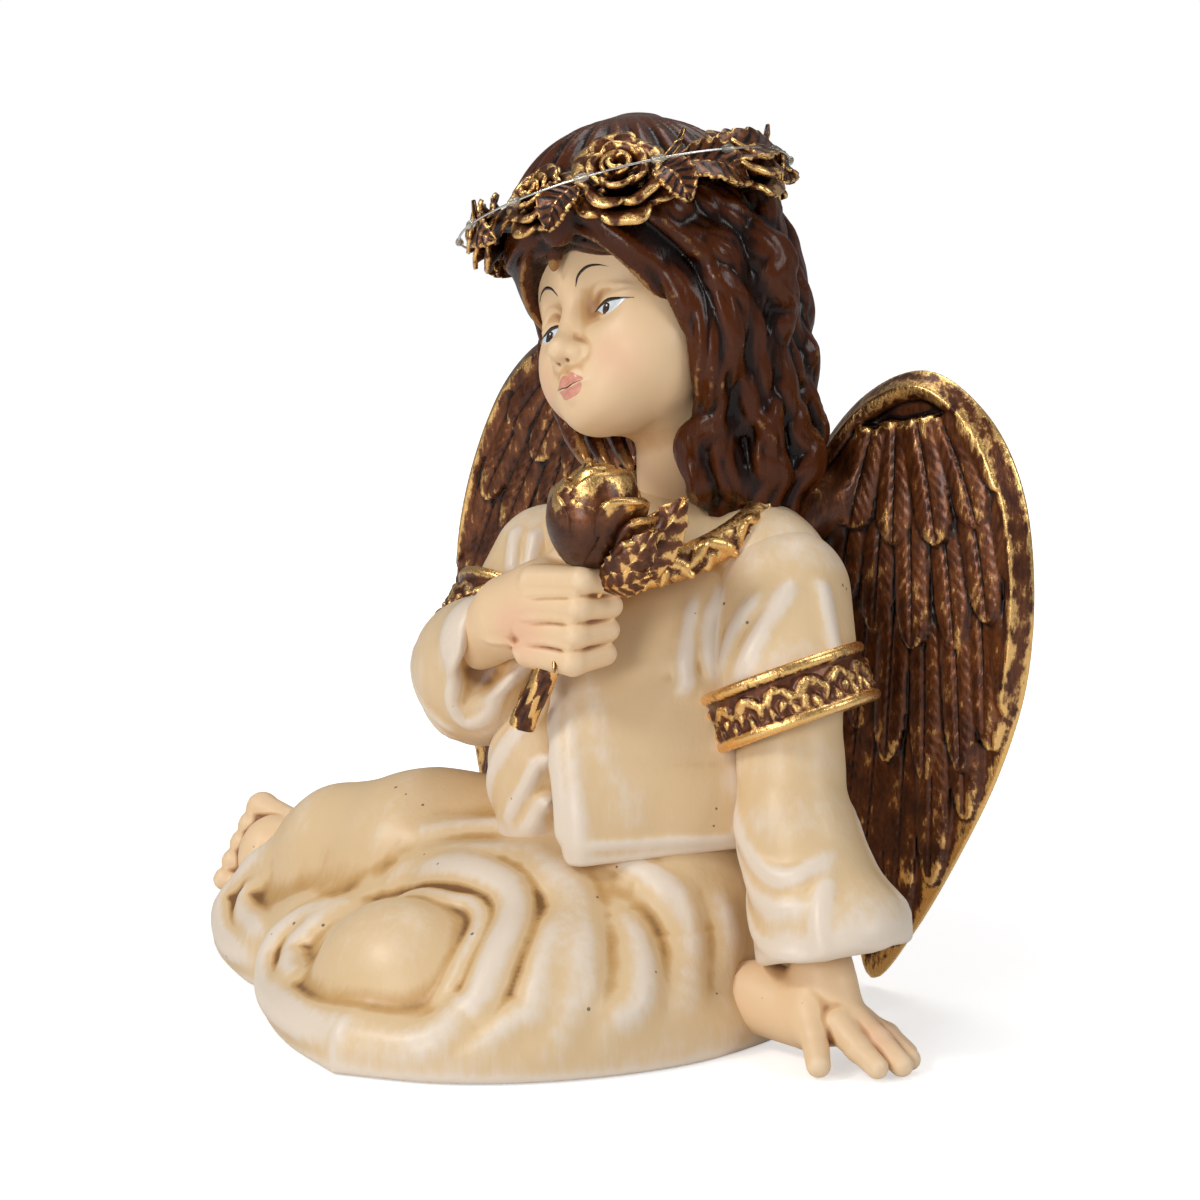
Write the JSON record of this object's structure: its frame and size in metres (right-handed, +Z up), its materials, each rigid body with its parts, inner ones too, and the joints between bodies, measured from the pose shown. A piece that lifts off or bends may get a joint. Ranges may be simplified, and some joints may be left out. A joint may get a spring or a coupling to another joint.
{
  "type": "seated angel figurine",
  "caption": "Painted resin child angel seated with folded legs, one hand on the ground and a rose in the other, with a lit flower wreath.",
  "frame": {"origin": "on the flat underside of the robe that the figure rests on, under the pelvis", "axes": "+Z up; the figure's chest faces -Y; its left hand is towards +X and its toes are towards -X"},
  "size_m": [0.2278, 0.1602, 0.2336],
  "materials": {
    "cream_robe": "cream painted resin with ochre antique wash",
    "skin": "painted resin skin tone, satin",
    "hair_brown": "dark brown paint, glossy, gold-rubbed strands",
    "antique_gold": "copper-brown paint with rubbed gold on the high points",
    "silver_wire": "bare silver light wire",
    "clear_bead": "clear drops of resin over the light chips",
    "dark_plastic": "moulded black",
    "spring_steel": "nickel-plated contact",
    "cell_wrap": "plain shrink wrap"
  },
  "bodies": {
    "figure": {"robe_skirt": "cream_robe", "tunic": "cream_robe", "left_upper_sleeve": "cream_robe", "left_lower_sleeve": "cream_robe", "right_sleeve": "cream_robe", "left_foot": "skin", "left_hand": "skin", "right_hand": "skin", "head": "skin", "hair": "hair_brown", "collar_trim": "antique_gold", "wing_left": "antique_gold", "wing_right": "antique_gold", "left_arm_band": "antique_gold", "right_arm_band": "antique_gold", "rose_bloom": "antique_gold", "rose_leaves": "antique_gold", "rose_stem": "antique_gold", "wreath_vine": "antique_gold", "wreath_leaves": "antique_gold", "led_wire": "silver_wire", "led_beads": "clear_bead", "wire_grommet": "dark_plastic", "battery_box": "dark_plastic", "contact_springs": "spring_steel", "contact_plate": "spring_steel", "switch_body": "dark_plastic", "battery_1": "cell_wrap", "battery_2": "cell_wrap", "wreath_rose_1": "antique_gold", "wreath_rose_2": "antique_gold", "wreath_rose_3": "antique_gold", "wreath_rose_4": "antique_gold", "wreath_rose_5": "antique_gold", "wreath_rose_6": "antique_gold"},
    "door": {"battery_door": "dark_plastic"},
    "knob": {"switch_knob": "dark_plastic"}
  },
  "joints": [
    {"name": "door_hinge", "type": "hinge", "parent": "figure", "child": "door", "pos_m": [-0.011, -0.0146, 0.0016], "axis": [1, 0, 0], "range_deg": [0, 95]},
    {"name": "switch_slide", "type": "slide", "parent": "figure", "child": "knob", "axis": [0, 1, 0], "range_m": [0, 0.002]}
  ]
}
